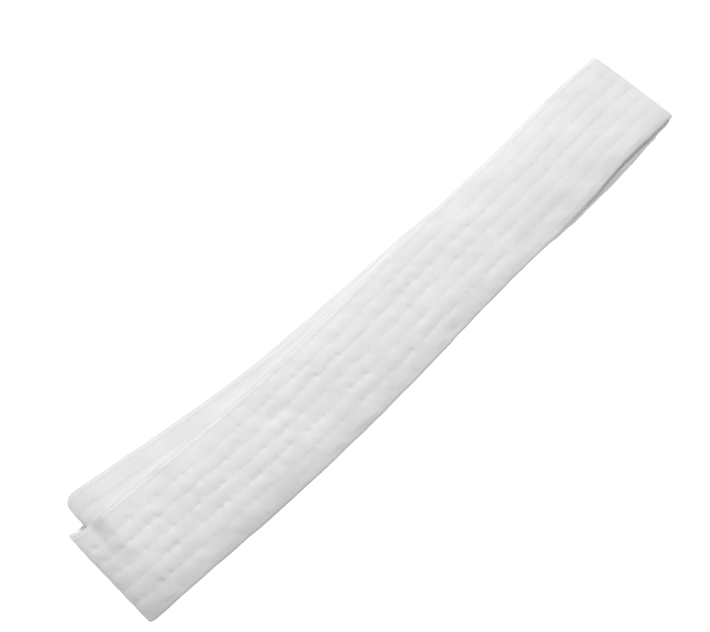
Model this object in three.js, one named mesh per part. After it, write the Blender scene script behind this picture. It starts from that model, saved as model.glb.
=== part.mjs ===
// A martial arts belt folded in half three times and laid flat as a bundle of eight layers.
// Millimetres, +X along the bundle, +Y across it, +Z up. The bundle rests on z = 0.
//
// The strip is swept along its folded route. Its face is the side that lies outside the bundle,
// its back is the side with the slit where the cover's two long edges meet.
import * as THREE from 'three';
import { mergeVertices } from 'three/addons/utils/BufferGeometryUtils.js';

// The strip's own sizes.
const beltWidth = 40;
const beltThickness = 1.8; // over the rims, which are the thickest part
const coverCloth = 0.3; // thickness of the cover's cloth between the rims
const plyThickness = 0.2;
const plyClearance = 0.1; // between the plies, and between them and the cover
const slitWidth = 0.4; // between the cover's two long edges, on the back
const turnedInEnd = 1.5; // how deep the cover's closed ends are

// The rims: the cover's folded edges, which stand proud of the stitched field between them.
const rimFlat = 1.1;
const rimRound = 0.6; // how far the edge's rounding reaches in from the side
const rimRamp = 0.15;
const threadRecess = 0.25; // how far the stitched field lies below the rims

// The stitching.
const rowCount = 7;
const rowToEdge = 2.2; // from the outermost rows to the belt's side
const threadWidth = 0.5;
const threadHeight = 0.15;
const threadClearance = 0.04; // between a thread and the cloth that it lies on
const endStitchInset = 4; // from a closed end to its cross row
const rowInset = 6; // from a closed end to where the lengthwise rows begin

// The folded bundle.
const layerGap = 0.2;
const straightRun = 253; // length of a layer between its two folds
const foldStep = 4; // how much further each left fold reaches than the one inside it
const rightFoldStep = 3;
const outerEndTrim = -1; // how far the free ends stop short of the right folds' centres
const innerEndTrim = 5;

// How the hand-folded bundle strays from a true stack, all along Y.
const swayLength = 300; // one full wave of the layers' common sideways curve
const swayDepth = 2.1;
const swayCentre = 42; // where that curve crosses its middle
const leanShift = 5; // how far the lowest layer lies to +Y of the top one
const leanAtLeftEnd = 0.2; // the share of it that is left at the left end
const leanBlend = 120; // how far from that end it is back in full
const fanShift = 14; // how far the inner layers slid out at the left end
const fanStart = 60; // where along X they begin to slide out
const fanPower = 1.75;
const fanLoss = 0.06; // how much less each deeper pair of layers slid

// Facets.
const straightSteps = 6;
const foldSteps = { 1: 6, 3: 10, 5: 12, 7: 14 };

const layerCount = 8;
const layerPitch = beltThickness + layerGap;
const rimHalf = beltThickness / 2;
const fieldHalf = rimHalf - threadRecess;
const cavityHalf = fieldHalf - coverCloth;
const leftCentre = -straightRun / 2;
const rightCentre = straightRun / 2;
const leftEnd = leftCentre - layerPitch / 2 - foldStep * (layerCount / 2 - 1);
const topLevel = layerCount;

// Heights and places of the layers. Level 1 lies at the bottom.
function levelHeight(level) {
  return rimHalf + (level - 1) * layerPitch;
}

// The layers are joined in pairs by the nested left folds: 1 with 8, 2 with 7, 3 with 6, 4 with 5.
function pairDepth(level) {
  return Math.min(level - 1, layerCount - level);
}

function sidewaysShift(x, z, depth) {
  const sway = swayDepth * Math.sin((2 * Math.PI * (x - swayCentre)) / swayLength);
  const below = (levelHeight(topLevel) - z) / (levelHeight(topLevel) - levelHeight(1));
  const leanShare = THREE.MathUtils.lerp(
    leanAtLeftEnd, 1, THREE.MathUtils.smoothstep(x, leftEnd, leftEnd + leanBlend));
  const slid = Math.max(0, (fanStart - x) / (fanStart - leftEnd)) ** fanPower;
  const fan = depth === 0 ? 0 : fanShift * slid * (1 - fanLoss * (depth - 1));
  return sway + leanShift * leanShare * below ** 2 + fan;
}

// A station is a point of the strip's centre line with the direction in which the strip runs there.
function station(x, z, headingX, headingZ, depth) {
  const heading = new THREE.Vector2(headingX, headingZ).normalize();
  return { centre: new THREE.Vector3(x, sidewaysShift(x, z, depth), z), heading };
}

function straightStations(level, fromX, toX) {
  const direction = Math.sign(toX - fromX);
  const stations = [];
  for (let step = 0; step <= straightSteps; step += 1) {
    const x = THREE.MathUtils.lerp(fromX, toX, step / straightSteps);
    stations.push(station(x, levelHeight(level), direction, 0, pairDepth(level)));
  }
  return stations;
}

// The stations between two layers, round half an ellipse, without its two ends. side is -1 at the left.
function foldStations(fromLevel, toLevel, side) {
  const span = Math.abs(toLevel - fromLevel);
  const upward = Math.sign(toLevel - fromLevel);
  const reach = layerPitch / 2 + ((span - 1) / 2) * (side < 0 ? foldStep : rightFoldStep);
  const rise = (span * layerPitch) / 2;
  const middleX = side < 0 ? leftCentre : rightCentre;
  const middleZ = (levelHeight(fromLevel) + levelHeight(toLevel)) / 2;
  const depth = pairDepth(fromLevel);
  const stations = [];
  for (let step = 1; step < foldSteps[span]; step += 1) {
    const angle = Math.PI * (step / foldSteps[span]);
    stations.push(station(
      middleX + side * reach * Math.sin(angle),
      middleZ - upward * rise * Math.cos(angle),
      side * reach * Math.cos(angle),
      upward * rise * Math.sin(angle),
      depth));
  }
  return stations;
}

// The folded route: the levels in the order in which the strip passes through them.
function foldedRoute() {
  const levels = [1, 8, 5, 4, 3, 6, 7, 2];
  const route = [];
  levels.forEach((level, index) => {
    const toLeft = index % 2 === 0;
    const startX = index === 0 ? rightCentre - outerEndTrim : rightCentre;
    const stopX = index === levels.length - 1 ? rightCentre - innerEndTrim : rightCentre;
    route.push(...straightStations(level, toLeft ? startX : leftCentre, toLeft ? leftCentre : stopX));
    if (index < levels.length - 1) {
      route.push(...foldStations(level, levels[index + 1], toLeft ? -1 : 1));
    }
  });
  return route;
}

// A station further along the strip, at this distance from the first towards the second.
function between(first, second, distance) {
  const share = distance / first.centre.distanceTo(second.centre);
  return { centre: first.centre.clone().lerp(second.centre, share), heading: first.heading };
}

// The route without this much of the strip at either end.
function shortened(route, inset) {
  const last = route.length - 1;
  const start = between(route[0], route[1], inset);
  const stop = between(route[last], route[last - 1], inset);
  return [start, ...route.slice(1, last), stop];
}

// A section point (across, outward) at a station. outward is towards the strip's face.
function placed(point, { centre, heading }) {
  return new THREE.Vector3(
    centre.x - heading.y * point.y, centre.y + point.x, centre.z + heading.x * point.y);
}

// Collects triangles and turns them into one closed geometry.
class Skin {
  constructor() {
    this.positions = [];
  }

  triangle(a, b, c) {
    this.positions.push(...a.toArray(), ...b.toArray(), ...c.toArray());
  }

  // The band between two stations round a closed section that runs counter-clockwise.
  band(section, first, second) {
    section.forEach((point, index) => {
      const next = section[(index + 1) % section.length];
      const [a, b] = [placed(point, first), placed(next, first)];
      const [c, d] = [placed(next, second), placed(point, second)];
      this.triangle(a, b, c);
      this.triangle(a, c, d);
    });
  }

  bands(section, stations) {
    for (let index = 1; index < stations.length; index += 1) {
      this.band(section, stations[index - 1], stations[index]);
    }
  }

  // A flat wall over a section, facing along the strip or back along it.
  wall(section, at, forward) {
    for (const [i, j, k] of THREE.ShapeUtils.triangulateShape(section, [])) {
      const corners = [section[i], section[j], section[k]].map((point) => placed(point, at));
      if (!forward) corners.reverse();
      this.triangle(...corners);
    }
  }

  geometry() {
    const soup = new THREE.BufferGeometry();
    soup.setAttribute('position', new THREE.Float32BufferAttribute(this.positions, 3));
    const closed = mergeVertices(soup, 1e-5);
    closed.computeVertexNormals();
    return closed;
  }
}

function sweep(section, stations) {
  const skin = new Skin();
  skin.wall(section, stations[0], false);
  skin.bands(section, stations);
  skin.wall(section, stations[stations.length - 1], true);
  return skin.geometry();
}

function rectangle(halfWidth, low, high) {
  return [[-halfWidth, low], [halfWidth, low], [halfWidth, high], [-halfWidth, high]]
    .map(([x, y]) => new THREE.Vector2(x, y));
}

// The cover's outside from the slit's right lip round to its left lip, counter-clockwise.
function coverOutside() {
  const side = beltWidth / 2;
  const rimOuter = side - rimRound;
  const rimInner = rimOuter - rimFlat;
  const right = [
    [rimInner - rimRamp, fieldHalf],
    [rimInner, rimHalf],
    [rimOuter, rimHalf],
    [rimOuter + rimRound * Math.sin(Math.PI / 4), rimHalf * Math.sin(Math.PI / 4)],
    [side, 0],
  ];
  const upperRight = right.slice(0, -1).reverse();
  const lowerRight = right.map(([x, y]) => [x, -y]);
  const rightHalf = [[slitWidth / 2, -fieldHalf], ...lowerRight, ...upperRight];
  const leftHalf = rightHalf.map(([x, y]) => [-x, y]).reverse();
  return [...rightHalf, ...leftHalf].map(([x, y]) => new THREE.Vector2(x, y));
}

// The hollow that the core lies in, from the slit's left lip round to its right lip, clockwise.
function coverInside() {
  const half = beltWidth / 2 - rimRound;
  return [
    [-slitWidth / 2, -cavityHalf], [-half, -cavityHalf], [-half, cavityHalf],
    [half, cavityHalf], [half, -cavityHalf], [slitWidth / 2, -cavityHalf],
  ].map(([x, y]) => new THREE.Vector2(x, y));
}

function coverGeometry(route) {
  const outside = coverOutside();
  const inside = coverInside();
  const hollow = [...inside].reverse();
  const mouth = [outside[outside.length - 1], outside[0], ...hollow];
  const wrapped = shortened(route, turnedInEnd);
  const skin = new Skin();
  skin.wall(outside, route[0], false);
  skin.band(outside, route[0], wrapped[0]);
  skin.wall(mouth, wrapped[0], true);
  skin.bands([...outside, ...inside], wrapped);
  skin.wall(mouth, wrapped[wrapped.length - 1], false);
  skin.band(outside, wrapped[wrapped.length - 1], route[route.length - 1]);
  skin.wall(outside, route[route.length - 1], true);
  return skin.geometry();
}

// A thread's section: flat on the cloth and rounded over. side is 1 on the face and -1 on the back.
function threadSection(across, side) {
  const foot = fieldHalf + threadClearance;
  const corners = [
    [across - threadWidth / 2, foot], [across + threadWidth / 2, foot], [across, foot + threadHeight],
  ].map(([x, y]) => new THREE.Vector2(x, side * y));
  return side > 0 ? corners : corners.reverse();
}

// A cross row: a short thread across the belt, between two stations one thread's width apart.
function crossRowGeometry(end, towards, side) {
  const halfRow = beltWidth / 2 - rowToEdge;
  const foot = side * (fieldHalf + threadClearance);
  const top = foot + side * threadHeight;
  const near = between(end, towards, endStitchInset - threadWidth / 2);
  const far = between(end, towards, endStitchInset + threadWidth / 2);
  const section = rectangle(halfRow, Math.min(foot, top), Math.max(foot, top));
  const alongRoute = near.centre.clone().sub(far.centre).x * end.heading.x < 0;
  return sweep(section, alongRoute ? [near, far] : [far, near]);
}

const coverCotton = new THREE.MeshStandardMaterial({ color: 0xeeedea, roughness: 0.92, metalness: 0 });
const coreCotton = new THREE.MeshStandardMaterial({ color: 0xe6e1d6, roughness: 0.95, metalness: 0 });
const cottonThread = new THREE.MeshStandardMaterial({ color: 0xf4f3f0, roughness: 0.8, metalness: 0 });

const belt = new THREE.Group();

function addPiece(name, geometry, material) {
  const mesh = new THREE.Mesh(geometry, material);
  mesh.name = name;
  belt.add(mesh);
}

const route = foldedRoute();
const coreRoute = shortened(route, turnedInEnd + plyClearance);
const rowRoute = shortened(route, rowInset);
const plyHalfWidth = beltWidth / 2 - rimRound - plyClearance;

addPiece('wrapped_cover', coverGeometry(route), coverCotton);
addPiece(
  'core_ply_face',
  sweep(rectangle(plyHalfWidth, plyClearance / 2, plyClearance / 2 + plyThickness), coreRoute),
  coreCotton);
addPiece(
  'core_ply_back',
  sweep(rectangle(plyHalfWidth, -plyClearance / 2 - plyThickness, -plyClearance / 2), coreRoute),
  coreCotton);

const rowPitch = (beltWidth - 2 * rowToEdge) / (rowCount - 1);
for (let row = 0; row < rowCount; row += 1) {
  const across = beltWidth / 2 - rowToEdge - row * rowPitch;
  addPiece(`needle_thread_row_${row + 1}`, sweep(threadSection(across, 1), rowRoute), cottonThread);
  addPiece(`bobbin_thread_row_${row + 1}`, sweep(threadSection(across, -1), rowRoute), cottonThread);
}

const strip = [
  { name: 'outer_end', end: route[0], towards: route[1] },
  { name: 'inner_end', end: route[route.length - 1], towards: route[route.length - 2] },
];
for (const { name, end, towards } of strip) {
  addPiece(`${name}_needle_stitches`, crossRowGeometry(end, towards, 1), cottonThread);
  addPiece(`${name}_bobbin_stitches`, crossRowGeometry(end, towards, -1), cottonThread);
}

// The bundle's box is centred over the origin.
const box = new THREE.Box3().setFromObject(belt);
const centre = box.getCenter(new THREE.Vector3());
belt.position.set(-centre.x, -centre.y, -box.min.z);

const group = new THREE.Group();
group.add(belt);
export default group;
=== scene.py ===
import math

import bpy
import numpy as np
from mathutils import Matrix, Vector


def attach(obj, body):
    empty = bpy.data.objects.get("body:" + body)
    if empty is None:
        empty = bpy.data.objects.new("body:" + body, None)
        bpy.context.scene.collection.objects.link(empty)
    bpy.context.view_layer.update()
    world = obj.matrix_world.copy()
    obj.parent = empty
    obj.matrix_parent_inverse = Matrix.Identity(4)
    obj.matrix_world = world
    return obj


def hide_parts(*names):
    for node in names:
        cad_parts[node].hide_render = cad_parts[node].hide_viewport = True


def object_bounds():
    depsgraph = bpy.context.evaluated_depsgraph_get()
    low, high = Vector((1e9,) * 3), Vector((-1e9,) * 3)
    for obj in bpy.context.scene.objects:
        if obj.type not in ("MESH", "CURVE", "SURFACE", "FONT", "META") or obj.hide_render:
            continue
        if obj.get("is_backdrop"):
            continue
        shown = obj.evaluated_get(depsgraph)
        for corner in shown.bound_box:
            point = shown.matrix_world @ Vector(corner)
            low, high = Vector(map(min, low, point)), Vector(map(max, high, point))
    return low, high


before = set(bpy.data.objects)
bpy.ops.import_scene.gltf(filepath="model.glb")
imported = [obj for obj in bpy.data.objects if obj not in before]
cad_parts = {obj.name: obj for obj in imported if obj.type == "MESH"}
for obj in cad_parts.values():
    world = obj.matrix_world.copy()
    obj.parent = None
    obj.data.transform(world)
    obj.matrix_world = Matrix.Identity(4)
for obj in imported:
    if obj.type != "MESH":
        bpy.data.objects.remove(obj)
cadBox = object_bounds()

mm = 0.001
print("frame loaded")


bundle = {
    "levels": [1, 8, 5, 4, 3, 6, 7, 2],  # the order in which the strip passes through the layers
    "straightRun": 253.0,
    "halfWidth": 20.0,  # of the strip
    "halfThickness": 0.9,
    "origin": (-4.5, 6.43, 0),  # the place under the middle of the folded bundle
    "pitch": 2.0,  # from one layer to the next
    "leftFoldStep": 4.0,  # how much further out a left fold reaches than the one inside it
    "rightFoldStep": 3.0,
    "foldPoint": (1.5, 1.0),  # above 1 the folds at the left and at the right run out to a sharper nose
    "foldCurve": 1.6,  # length of a fold's curve, as a multiple of its reach and rise
    "outerEndTrim": -1.0,  # how far short of the right folds' centres the strip's two ends stop
    "innerEndTrim": 5.0,
    "swayLength": 300.0,  # the sideways curve of the whole bundle
    "swayDepth": 2.1,
    "swayCentre": 42.0,
    "leanShift": 5.0,  # the lowest layer lies this far to +Y of the top one
    "leanPower": 1.2,
    "leanAtLeftEnd": (0.7, 0.2),  # what is left of that there, for the outer and the inner layers
    "leanBlend": 120.0,
    "rightLean": (1.0, 0.25),  # and what is left of it at the right end
    "rightLeanEnds": (20.0, 78.0),
    "topStray": (-1.2, 0.8),  # the top layer's own wander, to -Y at the left and to +Y at the right
    "topStrayEnds": (-90.0, 10.0),
    "lowerStray": (0.0, 1.0),  # and that of the layers below
    "lowerStrayEnds": (-50.0, 10.0),
    "topEndStray": (0.0, 1.7),  # both wander further to +Y near the right end
    "topEndStrayEnds": (65.0, 112.0),
    "lowerEndStray": (0.0, 1.2),
    "lowerEndStrayEnds": (105.0, 130.0),
    "topBow": (0.8, 28.0, 28.0),  # height, centre and half length of a bow to the side
    "lowerBow": (0.4, 5.0, 40.0),
    "lowerEndBow": (-0.9, 88.0, 26.0),
    "fanShift": 14.0,  # the inner layers slid out at the left end
    "fanStart": 60.0,
    "fanPower": 1.75,
    "fanLoss": 0.06,
    "droop": 1.5,  # how far the top layer's sides sink below its middle
    "droopFrom": 7.0,
    "droopPower": 1.9,
    "droopPast": 1.2,  # the sinking goes on past the edge, up to this share
    "fanHolds": 0.85,  # the slid-out layers hold up that much of its +Y side
    "emptyDroop": 1.0,  # how much further it sinks at the left, where the inner layers slid from under it
    "fanDroop": (1.55, 2.0),  # how far the lowest slid-out side hangs, and how much further the highest
    "fanDroopFrom": -2.0,
    "fanDroopPower": 1.3,
    "fanDroopPast": 1.1,
    "innerFrom": 1.5,  # how far inside the bundle a layer counts fully as an inner one
    "rightSides": (1.0, 0.4),  # the sides hang less at the right end
    "rightSidesEnds": (80.0, 118.0),
    "endDroop": 0.5,  # how far the top layer sinks at the right end
    "endDroopLength": 35.0,
    "endDroopPast": 8.0,
    "endDroopPower": 3,
    "leftEndDroop": 0.5,  # and at the left end
    "leftEndDroopLength": 26.0,
    "leftCorners": (0.0, 4.0, 3.0, 2.0),  # radius of the left folds' corners, outermost first
    "rightCorners": 1.0,
    "foldFlare": 0.055,  # the outermost left fold is pressed this much wider
    "foldFlarePower": 3,
    "leftSkew": (1.65, 0.8),  # how far the outermost left fold stands out, and how much more to +Y
    "rightSkew": (0.98, -1.33),  # the same for the top layer's fold at the right
    "foldSkewLength": 40.0,
    "spread": (0.01, -0.015),  # how much wider the top layer is pressed, and at the right end
    "spreadEnds": (80.0, 125.0),
    "fineStep": 0.8,  # spacing of the rings where the layers are seen
    "coarseStep": 1.6,
    "foldRingStep": 0.7,
    "leastFoldRings": 10,
    "seenLevels": (1, 7, 8),
}
bundle["top"] = len(bundle["levels"])
bundle["leftCentre"] = -bundle["straightRun"] / 2
bundle["rightCentre"] = bundle["straightRun"] / 2
bundle["leftEnd"] = bundle["leftCentre"] - bundle["pitch"] / 2 - 3 * bundle["leftFoldStep"]
bundle["rightEnd"] = bundle["rightCentre"] + bundle["pitch"] / 2 + bundle["rightFoldStep"]


def levelHeight(level):
    return bundle["halfThickness"] + (level - 1) * bundle["pitch"]


lowestHeight, topHeight = levelHeight(1), levelHeight(bundle["top"])


def layerDepth(level):
    # 0 for the lowest and the top layer, and one more for each layer further in.
    return min(level - 1, bundle["top"] - level)


def smoothStep(low, high, value):
    share = np.clip((value - low) / (high - low), 0, 1)
    return share * share * (3 - 2 * share)


def between(name, x):
    # A value that goes from its first to its second number between two places along the bundle.
    first, second = bundle[name]
    return first + (second - first) * smoothStep(*bundle[name + "Ends"], x)


def bow(name, x):
    height, centre, halfLength = bundle[name]
    return height * np.exp(-(((x - centre) / halfLength) ** 2))


def slidShare(x):
    # How far the inner layers have slid out, from 0 where the slide starts to 1 at the left end.
    share = np.clip((bundle["fanStart"] - x) / (bundle["fanStart"] - bundle["leftEnd"]), 0, 1)
    return share ** bundle["fanPower"]


def sidewaysShift(x, z, depth, free):
    sway = bundle["swayDepth"] * np.sin(2 * np.pi * (x - bundle["swayCentre"]) / bundle["swayLength"])
    top = between("topStray", x) + between("topEndStray", x) + bow("topBow", x)
    lower = between("lowerStray", x) + between("lowerEndStray", x)
    lower = lower + bow("lowerBow", x) + bow("lowerEndBow", x)
    sway = sway + free * top + (1 - free) * lower
    below = np.clip((topHeight - z) / (topHeight - lowestHeight), 0, 1)
    blend = smoothStep(bundle["leftEnd"], bundle["leftEnd"] + bundle["leanBlend"], x)
    outerShare, innerShare = bundle["leanAtLeftEnd"]
    endShare = np.where(depth > 0, innerShare, outerShare)
    leanShare = (endShare + (1 - endShare) * blend) * between("rightLean", x)
    lean = bundle["leanShift"] * leanShare * below ** bundle["leanPower"]
    fan = np.where(depth > 0, bundle["fanShift"] * (1 - bundle["fanLoss"] * (depth - 1)), 0)
    return sway + lean + fan * slidShare(x)


def straightPart(level, fromX, toX):
    step = bundle["fineStep"] if level in bundle["seenLevels"] else bundle["coarseStep"]
    x = fromX + (toX - fromX) * np.linspace(0, 1, int(abs(toX - fromX) / step) + 1)
    heading = np.tile([np.sign(toX - fromX), 0.0], (len(x), 1))
    free = np.full(len(x), 1.0 if level == bundle["top"] else 0.0)
    return x, np.full(len(x), levelHeight(level)), heading, np.full(len(x), layerDepth(level)), free, x * 0


def foldPart(fromLevel, toLevel, side):
    span, upward = abs(toLevel - fromLevel), np.sign(toLevel - fromLevel)
    foldStep = bundle["leftFoldStep"] if side < 0 else bundle["rightFoldStep"]
    reach = bundle["pitch"] / 2 + (span - 1) / 2 * foldStep
    rise = span * bundle["pitch"] / 2
    rings = int((reach + rise) * bundle["foldCurve"] / bundle["foldRingStep"])
    count = max(bundle["leastFoldRings"], rings)
    angle = np.pi * np.arange(1, count) / count
    point = bundle["foldPoint"][0 if side < 0 else 1]
    out = np.sin(angle) ** point
    x = (bundle["leftCentre"] if side < 0 else bundle["rightCentre"]) + side * reach * out
    z = (levelHeight(fromLevel) + levelHeight(toLevel)) / 2 - upward * rise * np.cos(angle)
    outward = side * reach * point * np.sin(angle) ** (point - 1) * np.cos(angle)
    heading = np.stack([outward, upward * rise * np.sin(angle)], 1)
    done = smoothStep(0, 1, 0.5 - 0.5 * np.cos(angle))
    free = (toLevel == bundle["top"]) * done + (fromLevel == bundle["top"]) * (1 - done)
    depth = layerDepth(fromLevel)
    radius = bundle["leftCorners"][depth] if side < 0 else bundle["rightCorners"]
    intoCorner = np.clip(radius - reach * (1 - out), 0, radius)
    ease = (radius - np.sqrt(radius**2 - intoCorner**2)) / bundle["halfWidth"]
    if side < 0 and depth == 0:
        ease = ease - bundle["foldFlare"] * np.sin(angle) ** bundle["foldFlarePower"]
    return x, z, heading, np.full(len(x), depth), free, ease


def foldedRoute():
    # The strip's middle line through all layers, its direction, and how it lies at each place.
    levels, left, parts = bundle["levels"], bundle["leftCentre"], []
    last = len(levels) - 1
    for index, level in enumerate(levels):
        toLeft = index % 2 == 0
        start = bundle["rightCentre"] - (bundle["outerEndTrim"] if index == 0 else 0)
        stop = bundle["rightCentre"] - (bundle["innerEndTrim"] if index == last else 0)
        parts.append(straightPart(level, start if toLeft else left, left if toLeft else stop))
        if index < last:
            parts.append(foldPart(level, levels[index + 1], -1 if toLeft else 1))
    x, z, heading, depth, free, ease = (np.concatenate(column) for column in zip(*parts))
    centre = np.stack([x, sidewaysShift(x, z, depth, free), z], 1)
    heading /= np.linalg.norm(heading, axis=1)[:, None]
    return centre, heading, free, ease


class Strip:
    # The folded route and the distance along it.
    def __init__(self):
        self.centre, self.heading, self.free, ease = foldedRoute()
        steps = np.linalg.norm(np.diff(self.centre, axis=0), axis=1)
        self.along = np.concatenate([[0], np.cumsum(steps)])
        self.widen = 1 - ease + self.free * between("spread", self.centre[:, 0])
        self.length = self.along[-1]

    def at(self, along):
        centre = np.stack([np.interp(along, self.along, self.centre[:, k]) for k in range(3)], 1)
        heading = np.stack([np.interp(along, self.along, self.heading[:, k]) for k in range(2)], 1)
        heading /= np.linalg.norm(heading, axis=1)[:, None]
        return centre, heading, np.interp(along, self.along, self.free)


def towardsEdge(across, start, most):
    # 0 up to the start, 1 at the strip's edge.
    return np.clip((across - start) / (bundle["halfWidth"] - start), 0, most)


def droop(centre, heading, free, across):
    # The sides of the upper layers hang a little, and nothing hangs where the strip stands upright.
    x, slid = centre[:, 0], slidShare(centre[:, 0])
    height = (centre[:, 2] - lowestHeight) / (topHeight - lowestHeight)
    flat = np.abs(heading[:, 0])
    reach = towardsEdge(np.abs(across), bundle["droopFrom"], bundle["droopPast"])
    held = np.where(across > 0, 1 - bundle["fanHolds"] * slid[:, None], 1)
    hangs = height * flat * between("rightSides", x)
    sides = bundle["droop"] * held * hangs[:, None] * reach ** bundle["droopPower"]
    sides = sides + bundle["emptyDroop"] * (slid * free * flat)[:, None] * np.where(across < 0, reach**2, 0)
    gaps = bundle["top"] - 1
    inside = np.minimum(height * gaps, gaps - height * gaps) * bundle["pitch"]
    inner = smoothStep(0.0, bundle["innerFrom"], inside)
    hang = towardsEdge(across, bundle["fanDroopFrom"], bundle["fanDroopPast"]) ** bundle["fanDroopPower"]
    least, further = bundle["fanDroop"]
    fan = ((least + further * height) * flat * inner * slid)[:, None] * hang
    rightCentre, leftEnd = bundle["rightCentre"], bundle["leftEnd"]
    toRight = smoothStep(rightCentre - bundle["endDroopLength"], rightCentre + bundle["endDroopPast"], x)
    toLeft = 1 - smoothStep(leftEnd, leftEnd + bundle["leftEndDroopLength"], x)
    rightDroop = bundle["endDroop"] * height ** bundle["endDroopPower"] * toRight
    ends = rightDroop + bundle["leftEndDroop"] * height * toLeft
    return sides + fan + ends[:, None]


def skew(centre, free, across):
    # The top layer's folds stand out from the others, and more on one side.
    total = 0
    for name, end, side in (("leftSkew", bundle["leftEnd"], -1), ("rightSkew", bundle["rightEnd"], 1)):
        near = 1 - smoothStep(0, bundle["foldSkewLength"], side * (end - centre[:, 0]))
        onTop = near * smoothStep(0, 0.5, free)
        out, more = bundle[name]
        total = total + side * onTop[:, None] * (out + more * across / bundle["halfWidth"])
    return total


def placePoints(centre, heading, free, across, outward):
    # Points of the cross sections, from how far across the strip and how far out of its middle they lie.
    x = centre[:, 0, None] - heading[:, 1, None] * outward + skew(centre, free, across)
    y = centre[:, 1, None] + across
    z = centre[:, 2, None] + heading[:, 0, None] * outward - droop(centre, heading, free, across)
    return np.stack([x, y, z], 2)


def softNoise(rng, first, second, firstScale, secondScale):
    # Smooth random heights from -1 to 1 over a grid of places along and across the strip.
    a, b = first / firstScale, second / secondScale
    a, b = a - a.min(), b - b.min()
    grid = rng.uniform(-1, 1, (int(a.max()) + 2, int(b.max()) + 2))
    i, j = np.minimum(a.astype(int), grid.shape[0] - 2), np.minimum(b.astype(int), grid.shape[1] - 2)
    u, v = a - i, b - j
    u, v = u * u * (3 - 2 * u), v * v * (3 - 2 * v)
    low = grid[i, j] * (1 - u) + grid[i + 1, j] * u
    high = grid[i, j + 1] * (1 - u) + grid[i + 1, j + 1] * u
    return low * (1 - v) + high * v


def tubeMesh(name, rings, places):
    # rings is rows of points round a closed section, in mm; places is where each point lies in the cloth.
    count, around = rings.shape[:2]
    mesh = bpy.data.meshes.new(name)
    mesh.vertices.add(count * around)
    mesh.vertices.foreach_set("co", (rings.reshape(-1, 3) * mm).astype(np.float32).ravel())
    row = np.arange(count - 1)[:, None] * around
    here, following = np.arange(around)[None, :], (np.arange(around)[None, :] + 1) % around
    quads = np.stack([row + here, row + following, row + around + following, row + around + here], 2)
    firstCap, lastCap = np.arange(around)[::-1], (count - 1) * around + np.arange(around)
    loops = np.concatenate([quads.reshape(-1), firstCap, lastCap])
    sizes = np.concatenate([np.full((count - 1) * around, 4), [around, around]])
    mesh.loops.add(len(loops))
    mesh.loops.foreach_set("vertex_index", loops.astype(np.int32))
    mesh.polygons.add(len(sizes))
    mesh.polygons.foreach_set("loop_start", np.concatenate([[0], np.cumsum(sizes)[:-1]]).astype(np.int32))
    mesh.polygons.foreach_set("use_smooth", np.ones(len(sizes), bool))
    mesh.update(calc_edges=True)
    mesh.validate()
    placeLayer = mesh.attributes.new("clothPlace", "FLOAT_VECTOR", "POINT")
    placeLayer.data.foreach_set("vector", (places.reshape(-1, 3) * mm).astype(np.float32).ravel())
    piece = bpy.data.objects.new(name, mesh)
    bpy.context.scene.collection.objects.link(piece)
    return piece


class Wire:
    # A socket that can be used in sums. Numbers and other wires add a Math node.
    def __init__(self, shader, socket):
        self.shader, self.socket = shader, socket

    def sum(self, operation, *terms):
        return self.shader.make("ShaderNodeMath", {"operation": operation}, dict(enumerate(terms)))

    def __add__(self, other):
        return self.sum("ADD", self, other)

    def __sub__(self, other):
        return self.sum("SUBTRACT", self, other)

    def __rsub__(self, other):
        return self.sum("SUBTRACT", other, self)

    def __mul__(self, other):
        return self.sum("MULTIPLY", self, other)

    def __truediv__(self, other):
        return self.sum("DIVIDE", self, other)

    __radd__ = __add__
    __rmul__ = __mul__

    def sine(self):
        return self.sum("SINE", self)

    def size(self):
        return self.sum("ABSOLUTE", self)

    def fraction(self):
        return self.sum("FRACT", self)

    def between(self, low, high):
        return self.shader.make(
            "ShaderNodeMapRange",
            {"interpolation_type": "SMOOTHSTEP"},
            {"Value": self, "From Min": low, "From Max": high},
        )


class Finish:
    # One material and the nodes behind its shader.
    def __init__(self, name):
        self.material = bpy.data.materials.new(name)
        self.material.use_nodes = True
        self.nodes, self.links = self.material.node_tree.nodes, self.material.node_tree.links
        self.shader = self.nodes["Principled BSDF"]

    def make(self, kind, settings, sockets, output=0):
        node = self.nodes.new(kind)
        for key, value in settings.items():
            setattr(node, key, value)
        for key, value in sockets.items():
            self.join(node.inputs[key], value)
        return Wire(self, node.outputs[output])

    def join(self, socket, value):
        if isinstance(value, Wire):
            self.links.new(value.socket, socket)
        else:
            socket.default_value = value

    def set(self, **sockets):
        for key, value in sockets.items():
            self.join(self.shader.inputs[key.replace("_", " ")], value)

    def clothPlace(self):
        place = self.make("ShaderNodeAttribute", {"attribute_name": "clothPlace"}, {}, "Vector")
        along = self.make("ShaderNodeSeparateXYZ", {}, {0: place})
        return place, along, Wire(self, along.socket.node.outputs[1])

    def noise(self, vector, scale, detail):
        return self.make("ShaderNodeTexNoise", {}, {"Vector": vector, "Scale": scale, "Detail": detail})

    def blend(self, factor, first, second):
        sockets = {0: factor, 6: first, 7: second}
        return self.make("ShaderNodeMix", {"data_type": "RGBA"}, sockets, 2)

    def bump(self, height, distance, strength, normal=None):
        sockets = {"Height": height, "Distance": distance, "Strength": strength}
        if normal:
            sockets["Normal"] = normal
        return self.make("ShaderNodeBump", {}, sockets)

    def patchy(self, place, look):
        # The colour of cloth with soft patches of a second shade. The roughness follows the patches.
        patches = self.noise(place, *look["patches"])
        self.set(Roughness=look["roughness"] + look["patchRoughness"] * patches)
        return self.blend(patches.between(*look["patchRange"]), look["white"], look["shade"])


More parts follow.
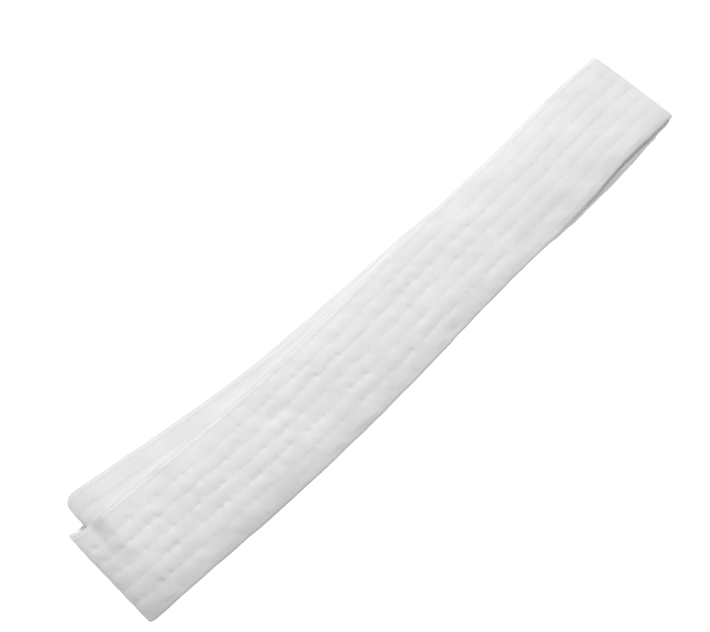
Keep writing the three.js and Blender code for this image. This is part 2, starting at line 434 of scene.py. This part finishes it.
coverLook = {
    "white": (0.845, 0.845, 0.85, 1),
    "shade": (0.80, 0.80, 0.805, 1),
    # the grey used to paint shade into the grooves and along the +Y edge
    "paintedShade": (0.70, 0.70, 0.71, 1),
    "paintedGrooveShare": 0.12,  # how much of that painted shade the stitched grooves take
    "paintedGrooveWidth": 0.3,  # width of the painted groove shade, as a share of the rows' spacing
    "paintedEdgeShade": 0.8,  # how strongly the rim along the +Y edge is painted with shade, to dim its highlight
    "paintedEdgeShadeFrom": 18.9,
    "paintedEdgeShadeTo": 19.6,
    "patches": (55.0, 4.0),  # scale and detail
    "patchRange": (0.35, 0.65),
    "roughness": 0.86,
    "patchRoughness": 0.1,
    "flecks": (900.0, 2.0),
    "fleckRange": (0.45, 0.75),
    "fleckShare": 0.25,
    "yarnPitch": 0.00055,
    "ribSlant": (0.6, 0.8),  # the ribs' direction, along and across the strip; the yarns cross them
    "ribShare": 0.7,
    "yarnPace": 0.5,
    "yarnDepth": 0.00002,
    "yarnStrength": 0.45,
    "fuzz": (2600.0, 3.0),
    "fuzzDepth": 0.00006,
    "fuzzStrength": 0.6,
    "sheen": 0.25,
    "sheenRoughness": 0.45,
    "specular": 0.25,
}


def coverCotton():
    # Cotton drill: steep diagonal ribs, a little fuzz and soft patches, with painted shade in the grooves
    # and along the +Y edge.
    finish, look = Finish("coverCotton"), coverLook
    place, along, across = finish.clothPlace()
    turn = 2 * math.pi / look["yarnPitch"]
    slantAlong, slantAcross = look["ribSlant"]
    ribs = ((along * slantAlong + across * slantAcross) * turn).sine()
    yarns = ((along * slantAcross - across * slantAlong) * (turn * look["yarnPace"])).sine()
    weave = ribs * look["ribShare"] + yarns * (1 - look["ribShare"])
    toRow = (((across / mm + rowPlan["half"]) / rowPlan["pitch"] + 0.5).fraction() - 0.5).size()
    # painted shade: the cloth is painted greyer in the grooves along the stitched rows
    groove = 1 - toRow.between(0.0, look["paintedGrooveWidth"])
    # painted shade along the +Y edge, dimming the highlight on its rim
    edge = (across / mm).between(look["paintedEdgeShadeFrom"], look["paintedEdgeShadeTo"])
    flecks = finish.noise(place, *look["flecks"]).between(*look["fleckRange"])
    cloth = finish.patchy(place, look)
    worn = finish.blend(flecks * look["fleckShare"], cloth, look["shade"])
    lined = finish.blend(groove * look["paintedGrooveShare"], worn, look["paintedShade"])
    finish.set(Base_Color=finish.blend(edge * look["paintedEdgeShade"], lined, look["paintedShade"]))
    finish.set(Sheen_Weight=look["sheen"], Sheen_Roughness=look["sheenRoughness"])
    finish.set(Specular_IOR_Level=look["specular"])
    soft = finish.bump(finish.noise(place, *look["fuzz"]), look["fuzzDepth"], look["fuzzStrength"])
    finish.set(Normal=finish.bump(weave, look["yarnDepth"], look["yarnStrength"], soft))
    return finish.material


threadLook = {
    "white": (0.86, 0.86, 0.865, 1),
    "shade": (0.76, 0.76, 0.77, 1),
    "patches": (400.0, 2.0),
    "patchRange": (0.3, 0.7),
    "roughness": 0.68,
    "patchRoughness": 0.15,
    "sheen": 0.15,
    "twistPitch": 0.0006,
    "twistSlant": 2000 * math.pi,  # how fast the ridges turn with the place round the thread
    "twistDepth": 0.00004,
    "twistStrength": 0.7,
}


def sewingThread():
    # A two-ply cotton thread: the twist runs round it as fine slanting ridges.
    finish, look = Finish("sewingThread"), threadLook
    place, along, around = finish.clothPlace()
    twist = (along * (2 * math.pi / look["twistPitch"]) + around * look["twistSlant"]).sine()
    finish.set(Base_Color=finish.patchy(place, look), Sheen_Weight=look["sheen"])
    finish.set(Normal=finish.bump(twist, look["twistDepth"], look["twistStrength"]))
    return finish.material


coreLook = {
    "white": (0.78, 0.74, 0.66, 1),
    "shade": (0.70, 0.66, 0.58, 1),
    "patches": (120.0, 3.0),
    "patchRange": (0.3, 0.7),
    "roughness": 0.88,
    "patchRoughness": 0.08,
    "yarnPitch": 0.0007,
    "yarnDepth": 0.00006,
    "yarnStrength": 0.6,
}


def coreCotton():
    # Plain unbleached cotton, woven over and under.
    finish, look = Finish("coreCotton"), coreLook
    place, along, across = finish.clothPlace()
    turn = 2 * math.pi / look["yarnPitch"]
    weave = (along * turn).sine() * (across * turn).sine()
    finish.set(Base_Color=finish.patchy(place, look))
    finish.set(Normal=finish.bump(weave, look["yarnDepth"], look["yarnStrength"]))
    return finish.material


cover = {
    "width": 2 * bundle["halfWidth"],
    "rows": 7,
    "rowToEdge": 2.2,
    "crest": 0.86,  # half thickness where the cloth stands highest between two rows
    "rowDepth": (0.01, 0.105, 0.13, 0.12, 0.12, 0.125, 0.09),  # how far each row draws the cloth in
    "rowPatches": 0.55,  # how much the rows' depth comes and goes along the strip
    "patchLength": 8.0,
    "fullness": 1.3,  # above 1 the grooves are narrower than the channels between them
    "pressedFrom": 0.0,  # to +X of this place the top layer's rows are pressed flatter
    "pressedTo": 75.0,
    "pressedShare": 0.45,
    "fanShare": 0.12,  # and so are the rows of the layer slid out under it
    "heldEdge": 0.5,  # how much thinner the top layer is on the side that lies on the slid-out layers
    "heldFrom": 8.0,
    "heldTo": 19.0,
    "heldSlide": 0.3,  # the share of the slide from which on it is held fully
    "hem": 0.72,  # half thickness of the thin margin outside the outermost rows
    "hemReach": 0.8,  # share of that margin over which the cloth thins
    "rimFrom": 0.68,  # and the share of it from which on the rim is rounded
    "least": 0.36,  # the cloth never lies lower than this over the core
    "most": 0.97,  # nor higher than this, and on the top of the bundle this much more
    "mostFree": 0.6,
    "stitch": 3.7,
    "pinch": 0.15,  # how much deeper the cloth is drawn in at each needle hole
    "pinchWidth": 1.15,
    "hardestPull": 1.55,
    "mostShare": 1.2,
    "edgeCalm": (2.0, 0.15),  # the puckers fade this near the edges, down to this share
    "foldCalm": 0.3,  # what is left of the puckers where the strip turns over
    "foldCalmFrom": 0.35,
    "pucker": 0.16,
    "puckerSize": (0.8, 0.45),  # in stitches and in rows
    "flatPucker": 0.4,  # what is left of the puckers between rows that aren't drawn in
    "hiddenPucker": 0.6,  # and inside the bundle
    "crumple": 0.20,
    "crumpleSize": (9.0, 7.0),
    "crumpleSlant": 0.7,
    "billow": 0.35,
    "billowSize": (26.0, 24.0),
    "billowSlant": -0.4,
    "waver": 0.13,  # how far the two edges wander from straight
    "waverSize": (5.0, 18.0),
    "endRounding": 0.9,
    "endLeast": 0.03,
    "backPlace": 50.0,  # keeps the back's yarns and patches apart from the face's
    "seed": 7,
}
rowPlan = {"half": cover["width"] / 2 - cover["rowToEdge"]}
rowPlan["pitch"] = 2 * rowPlan["half"] / (cover["rows"] - 1)


def rowPlaces():
    return rowPlan["half"] - rowPlan["pitch"] * np.arange(cover["rows"])


def acrossPlaces():
    # Where the section's points lie across the strip, from one side to the other, closest near the rows.
    inChannel = np.array([0, 0.06, 0.16, 0.31, 0.5, 0.69, 0.84, 0.94])
    channels = [-rowPlan["half"] + rowPlan["pitch"] * (k + inChannel) for k in range(cover["rows"] - 1)]
    inMargin = np.array([0.12, 0.3, 0.5, 0.68, 0.83, 0.94])
    margin = rowPlan["half"] + cover["rowToEdge"] * inMargin
    return np.concatenate([-margin[::-1], *channels, [rowPlan["half"]], margin])


def quiltHeight(across, share):
    # Half thickness of the strip before any puckers, with a share of the rows' full depth.
    height = np.full(len(across), cover["crest"])
    for row, depth in zip(rowPlaces(), cover["rowDepth"]):
        near = np.clip(np.abs(across - row) / rowPlan["pitch"], 0, 0.5)
        height -= share * depth * (0.5 + 0.5 * np.cos(2 * np.pi * near)) ** cover["fullness"]
    margin = np.clip((np.abs(across) - rowPlan["half"]) / cover["rowToEdge"], 0, 1)
    outermost = cover["crest"] - share * np.where(across > 0, cover["rowDepth"][0], cover["rowDepth"][-1])
    hem = outermost + (cover["hem"] - outermost) * smoothStep(0, cover["hemReach"], margin)
    rim = np.maximum(margin - cover["rimFrom"], 0) / (1 - cover["rimFrom"])
    return np.where(margin > 0, hem * np.sqrt(np.clip(1 - rim**2, 0, 1)), height)


def rowShare(strip):
    # How much of the rows' depth is left at each place along the strip.
    pressed = smoothStep(cover["pressedFrom"], cover["pressedTo"], strip.centre[:, 0]) * strip.free
    fromBeneath = np.abs(strip.centre[:, 2] - levelHeight(bundle["top"] - 1))
    share = 1 - (1 - cover["pressedShare"]) * pressed
    return np.where(fromBeneath < bundle["pitch"] / 10, cover["fanShare"], share)[:, None]


def slantedNoise(rng, grid, size, slant):
    return softNoise(rng, grid[0] + slant * grid[1], grid[1], *size)


def quiltedCover(strip):
    rng = np.random.default_rng(cover["seed"])
    across = acrossPlaces()
    along = strip.along[:, None]
    grid = np.broadcast_arrays(along, across[None, :])
    patches = softNoise(rng, grid[0], grid[1], cover["patchLength"], rowPlan["pitch"])
    share = rowShare(strip) * (1 + cover["rowPatches"] * patches)
    base = quiltHeight(across, 0.0)[None, :] * (1 - share) + quiltHeight(across, 1.0)[None, :] * share
    toRow = np.abs(across[None, :] - rowPlaces()[:, None])
    nearest, toRow = toRow.argmin(0), toRow.min(0)[None, :]
    rowPhase = rng.uniform(0, 1, cover["rows"])
    rowPull = (np.array(cover["rowDepth"]) / max(cover["rowDepth"]))[nearest][None, :]
    drawnIn = rowPull * np.minimum(share, cover["mostShare"])
    nearRow = np.exp(-((toRow / cover["pinchWidth"]) ** 2))
    holePlace = along / cover["stitch"] + rowPhase[nearest][None, :]
    holeCount = int(strip.length / cover["stitch"]) + 3
    hole = 0.5 + 0.5 * np.cos(2 * np.pi * holePlace)
    fade, edgeLeast = cover["edgeCalm"]
    edgeCalm = np.clip((cover["width"] / 2 - np.abs(across)) / fade, edgeLeast, 1)[None, :]
    turned = smoothStep(cover["foldCalmFrom"], 1.0, np.abs(strip.heading[:, 0]))[:, None]
    calm = cover["foldCalm"] + (1 - cover["foldCalm"]) * turned
    held = smoothStep(0, cover["heldSlide"], slidShare(strip.centre[:, 0]))[:, None]
    held = held * smoothStep(cover["heldFrom"], cover["heldTo"], across)[None, :]
    flatPucker, hiddenPucker = cover["flatPucker"], cover["hiddenPucker"]
    sides = []
    for side in (-1, 1):
        freeSide = strip.free[:, None] if side > 0 else 0.0
        pulls = rng.uniform(0.0, cover["hardestPull"], (holeCount, cover["rows"])) ** 2
        pull = pulls[np.round(holePlace).astype(int), nearest[None, :]]
        pinch = cover["pinch"] * drawnIn * pull * hole * nearRow
        perStitch, perRow = cover["puckerSize"]
        size = (cover["stitch"] * perStitch, rowPlan["pitch"] * perRow)
        puckers = slantedNoise(rng, grid, size, 0.0)
        crumple = slantedNoise(rng, grid, cover["crumpleSize"], cover["crumpleSlant"])
        billow = slantedNoise(rng, grid, cover["billowSize"], cover["billowSlant"])
        swell = cover["pucker"] * puckers * (flatPucker + (1 - flatPucker) * share)
        swell = swell * (hiddenPucker + (1 - hiddenPucker) * freeSide)
        swell = swell + (cover["crumple"] * crumple + cover["billow"] * (0.5 + 0.5 * billow)) * freeSide
        thick = base * (1 - cover["heldEdge"] * held * freeSide)
        height = thick + (swell * edgeCalm - pinch) * calm
        highest = cover["most"] + cover["mostFree"] * freeSide
        sides.append(np.clip(height, np.minimum(cover["least"], thick), highest) * side)
    tip = np.zeros((len(strip.along), 1))
    edge = cover["width"] / 2
    acrossAll = np.concatenate([across, [edge], across[::-1], [-edge]])
    outward = np.concatenate([sides[0], tip, sides[1][:, ::-1], tip], 1)
    fromEnd = np.minimum(strip.along, strip.length - strip.along)[:, None] / cover["endRounding"]
    outward = outward * np.sqrt(np.clip(1 - (1 - np.clip(fromEnd, cover["endLeast"], 1)) ** 2, 0, 1))
    grid = np.broadcast_arrays(along, acrossAll[None, :])
    lies = grid[1] * strip.widen[:, None] + cover["waver"] * softNoise(rng, *grid, *cover["waverSize"])
    rings = placePoints(strip.centre, strip.heading, strip.free, lies, outward)
    back = cover["backPlace"] * np.concatenate([np.zeros(len(across)), [0], np.ones(len(across)), [0]])
    places = np.stack(np.broadcast_arrays(along, acrossAll[None, :], back[None, :]), 2)
    rows = [int(np.abs(across - row).argmin()) for row in rowPlaces()]
    heights = {side: np.abs(half[:, rows]) for side, half in zip((-1, 1), sides)}
    return tubeMesh("quilted_cover", rings, places), rowPhase, heights


stitches = {
    "radius": 0.12,
    "rise": -0.06,  # height of the thread's middle line over the cloth, halfway between two holes
    "shoulder": -0.05,  # the same just beside a hole
    "dive": 0.30,  # how deep the thread goes in at the needle holes
    "rowInset": 6.0,
    "endInset": 4.0,
    "sides": 6,
    "aroundPlace": 0.5,  # how far a radian round the thread counts in the cloth
}


def threadPath(length, start, phase):
    # Places along a row, and how high the thread lies there.
    shares = np.array([0, 0.12, 0.35, 0.65, 0.88])
    dive, shoulder, rise = -stitches["dive"], stitches["shoulder"], stitches["rise"]
    first = math.ceil(start / cover["stitch"] + phase)
    last = math.floor((length - start) / cover["stitch"] + phase)
    along = ((np.arange(first, last)[:, None] - phase + shares[None, :]) * cover["stitch"]).ravel()
    return along, np.tile([dive, shoulder, rise, rise, shoulder], last - first)


def threadTube(name, centre, sideways, outward, along):
    angle = 2 * np.pi * np.arange(stitches["sides"]) / stitches["sides"]
    ring = np.cos(angle)[None, :, None] * sideways[:, None, :]
    ring = ring + np.sin(angle)[None, :, None] * outward[:, None, :]
    rings = centre[:, None, :] + stitches["radius"] * ring
    places = np.stack(np.broadcast_arrays(along[:, None], angle[None, :] * stitches["aroundPlace"], 0.0), 2)
    return tubeMesh(name, rings, places)


def lengthwiseRow(name, strip, across, side, phase, clothHeight):
    along, height = threadPath(strip.length, stitches["rowInset"], phase)
    height = height + np.interp(along, strip.along, clothHeight)
    centre, heading, free = strip.at(along)
    outward = np.stack([-heading[:, 1], np.zeros(len(along)), heading[:, 0]], 1) * side
    lies = across * np.interp(along, strip.along, strip.widen)[:, None]
    centre = placePoints(centre, heading, free, lies, (height * side)[:, None])[:, 0]
    sideways = np.tile([0.0, 1.0 * side, 0.0], (len(along), 1))
    return threadTube(name, centre, sideways, outward, along)


def crossRow(name, strip, place, side):
    half = rowPlan["half"]
    across, height = threadPath(2 * half, 0.0, 0.0)
    centre, heading, free = strip.at(np.full(len(across), place))
    outward = np.stack([-heading[:, 1], np.zeros(len(across)), heading[:, 0]], 1) * side
    sideways = np.stack([-heading[:, 0], np.zeros(len(across)), -heading[:, 1]], 1) * side
    height = height + quiltHeight(across - half, 1.0)
    centre = placePoints(centre, heading, free, (across - half)[:, None], (height * side)[:, None])[:, 0]
    return threadTube(name, centre, sideways, outward, across)


corePlies = {
    "halfWidth": 18.4,
    "near": 0.04,  # the ply's two faces, out from the middle of the strip
    "far": 0.18,
    "endInset": 1.7,
    "step": 1.25,
    "columns": 13,
}


def corePly(name, strip, side):
    # A flat ply of plain cotton inside the cover, which lies as the cover lies.
    along = np.arange(corePlies["endInset"], strip.length - corePlies["endInset"], corePlies["step"])
    centre, heading, free = strip.at(along)
    across = np.linspace(-corePlies["halfWidth"], corePlies["halfWidth"], corePlies["columns"])
    section = np.concatenate([across, across[::-1]])
    outward = np.repeat([corePlies["near"], corePlies["far"]], corePlies["columns"])
    if side < 0:
        section, outward = section[::-1], -outward[::-1]
    acrossGrid = section[None, :] * np.interp(along, strip.along, strip.widen)[:, None]
    outward = np.broadcast_to(outward[None, :], acrossGrid.shape)
    rings = placePoints(centre, heading, free, acrossGrid, outward)
    places = np.stack(np.broadcast_arrays(along[:, None], section[None, :], 0.0), 2)
    return tubeMesh(name, rings, places)


def finishPiece(piece, material, slot, *nodes):
    piece.data.materials.append(material)
    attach(piece, "root")
    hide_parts(*nodes)


strip = Strip()
print("strip length mm", round(float(strip.length)), "rings", len(strip.along))
coverPiece, rowPhase, clothHeights = quiltedCover(strip)
threadMaterial = sewingThread()
pieces = []
for index, across in enumerate(rowPlaces()):
    for side, kind in ((1, "needle"), (-1, "bobbin")):
        node = f"{kind}_thread_row_{index + 1}"
        clothHeight = clothHeights[side][:, index]
        name = f"{kind}_stitches_row_{index + 1}"
        piece = lengthwiseRow(name, strip, across, side, rowPhase[index], clothHeight)
        finishPiece(piece, threadMaterial, "cotton_thread", node)
        pieces.append(piece)
for end, place in (("outer", stitches["endInset"]), ("inner", strip.length - stitches["endInset"])):
    for side, kind in ((1, "needle"), (-1, "bobbin")):
        piece = crossRow(f"{end}_end_{kind}_row", strip, place, side)
        finishPiece(piece, threadMaterial, "cotton_thread", f"{end}_end_{kind}_stitches")
        pieces.append(piece)
coreMaterial = coreCotton()
for kind, side in (("face", 1), ("back", -1)):
    piece = corePly(f"{kind}_core_layer", strip, side)
    finishPiece(piece, coreMaterial, "core_cotton", f"core_ply_{kind}")
    pieces.append(piece)
finishPiece(coverPiece, coverCotton(), "cover_cotton", "wrapped_cover")
for piece in [coverPiece, *pieces]:
    piece.data.transform(Matrix.Translation(-Vector(bundle["origin"]) * mm))
cover["width"] * mm
print("belt built")


studio = {
    "floor": (0.40, 0.40, 0.40, 1),
    "floorHalf": 4.0,
    "floorRoughness": 0.9,
    "floorGlow": 0.96,
    "glowColour": (1, 1, 1, 1),
    "sky": (1.0, 1.0, 1.0, 1),
    "skyStrength": 0.16,
    "keyPlace": (0.22, 0.58, 0.80),
    "keySize": 0.45,
    "keyPower": 7.4,
    "fillPlace": (0.0, 0.1, 1.3),
    "fillSize": 1.4,
    "fillPower": 4.8,
}


def makeFloor():
    mesh = bpy.data.meshes.new("floor")
    half = studio["floorHalf"]
    corners = [(-half, -half, 0), (half, -half, 0), (half, half, 0), (-half, half, 0)]
    mesh.from_pydata(corners, [], [(0, 1, 2, 3)])
    floor = bpy.data.objects.new("floor", mesh)
    bpy.context.scene.collection.objects.link(floor)
    finish = Finish("paleFloor")
    finish.set(Base_Color=studio["floor"], Roughness=studio["floorRoughness"])
    finish.set(Emission_Color=studio["glowColour"], Emission_Strength=studio["floorGlow"])
    mesh.materials.append(finish.material)
    floor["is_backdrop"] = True


def makeLight():
    world = bpy.data.worlds.new("studio")
    bpy.context.scene.world = world
    world.use_nodes = True
    background = world.node_tree.nodes["Background"]
    background.inputs[0].default_value = studio["sky"]
    background.inputs[1].default_value = studio["skyStrength"]
    for name in ("key", "fill"):
        lamp = bpy.data.lights.new(name, "AREA")
        lamp.shape = "DISK"
        lamp.size = studio[name + "Size"]
        lamp.energy = studio[name + "Power"]
        light = bpy.data.objects.new(name, lamp)
        light.location = studio[name + "Place"]
        light.rotation_euler = (-light.location).to_track_quat("-Z", "Y").to_euler()
        bpy.context.scene.collection.objects.link(light)


view = {
    "lens": 60.0,
    "nearest": 0.01,
    "azimuth": 43.8,
    "elevation": 70.9,
    "distance": 0.442,
    "aim": (-0.0088, 0.0062, 0.008),
}


def makeCamera():
    lens = bpy.data.cameras.new("camera")
    lens.lens = view["lens"]
    lens.clip_start = view["nearest"]
    camera = bpy.data.objects.new("camera", lens)
    turn, lift = math.radians(view["azimuth"]), math.radians(view["elevation"])
    back = Vector((-math.cos(lift) * math.sin(turn), -math.cos(lift) * math.cos(turn), math.sin(lift)))
    camera.location = Vector(view["aim"]) + back * view["distance"]
    camera.rotation_euler = (-back).to_track_quat("-Z", "Y").to_euler()
    bpy.context.scene.collection.objects.link(camera)
    bpy.context.scene.camera = camera


makeFloor()
makeLight()
makeCamera()
bpy.context.scene.view_settings.view_transform = "Standard"
print("studio ready")

boxes = {"cad": cadBox, "visual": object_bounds()}
boxes = {name: [[float(v) for v in corner] for corner in pair] for name, pair in boxes.items()}
